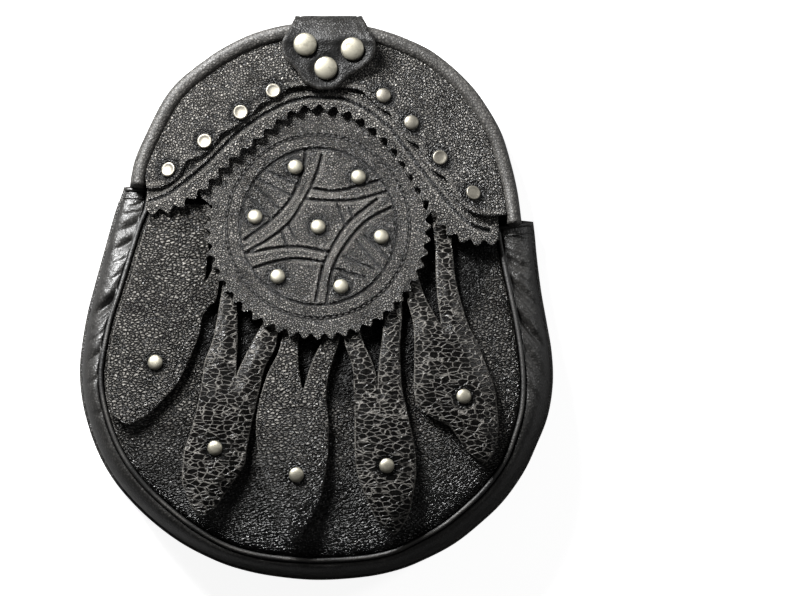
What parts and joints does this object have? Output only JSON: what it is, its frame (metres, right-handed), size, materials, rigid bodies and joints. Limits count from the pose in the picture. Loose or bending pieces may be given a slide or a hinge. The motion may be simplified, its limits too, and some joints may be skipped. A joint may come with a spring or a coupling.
{
  "type": "leather sporran pouch",
  "caption": "Black leather sporran pouch lying on its back: deep gusset, flap with riveted wavy cantle, embossed round medallion, leaf tassels and a strap loop behind.",
  "frame": {"origin": "middle of the underside of the pouch as it lies on its back", "axes": "+X to the right of the front, +Y up the pouch towards the hanger tab, +Z out of the front"},
  "size_m": [0.1708, 0.2036, 0.0376],
  "materials": {
    "grain_leather": "pebbled, semi-gloss, charcoal black",
    "soft_leather": "smooth, soft sheen, charcoal black",
    "nickel": "polished warm nickel, lightly worn"
  },
  "bodies": {
    "root": {"back_panel": "grain_leather", "front_panel": "grain_leather", "tassel_1": "grain_leather", "tassel_2": "grain_leather", "tassel_3": "grain_leather", "tassel_4": "grain_leather", "tassel_5": "grain_leather", "medallion": "grain_leather", "flap_trim": "grain_leather", "cantle": "grain_leather", "hanger_tab": "grain_leather", "gusset": "soft_leather", "piping": "soft_leather", "edge_roll": "soft_leather", "tassel_rivet_1": "nickel", "tassel_rivet_2": "nickel", "tassel_rivet_3": "nickel", "tassel_rivet_4": "nickel", "tassel_rivet_5": "nickel", "medallion_stud_1": "nickel", "medallion_stud_2": "nickel", "medallion_stud_3": "nickel", "medallion_stud_4": "nickel", "medallion_stud_5": "nickel", "medallion_stud_6": "nickel", "medallion_stud_7": "nickel", "cantle_rivet_1": "nickel", "cantle_rivet_2": "nickel", "cantle_rivet_3": "nickel", "cantle_rivet_4": "nickel", "cantle_rivet_5": "nickel", "cantle_rivet_6": "nickel", "cantle_rivet_7": "nickel", "cantle_rivet_8": "nickel", "tab_rivet_1": "nickel", "tab_rivet_2": "nickel", "tab_rivet_3": "nickel"}
  },
  "joints": []
}
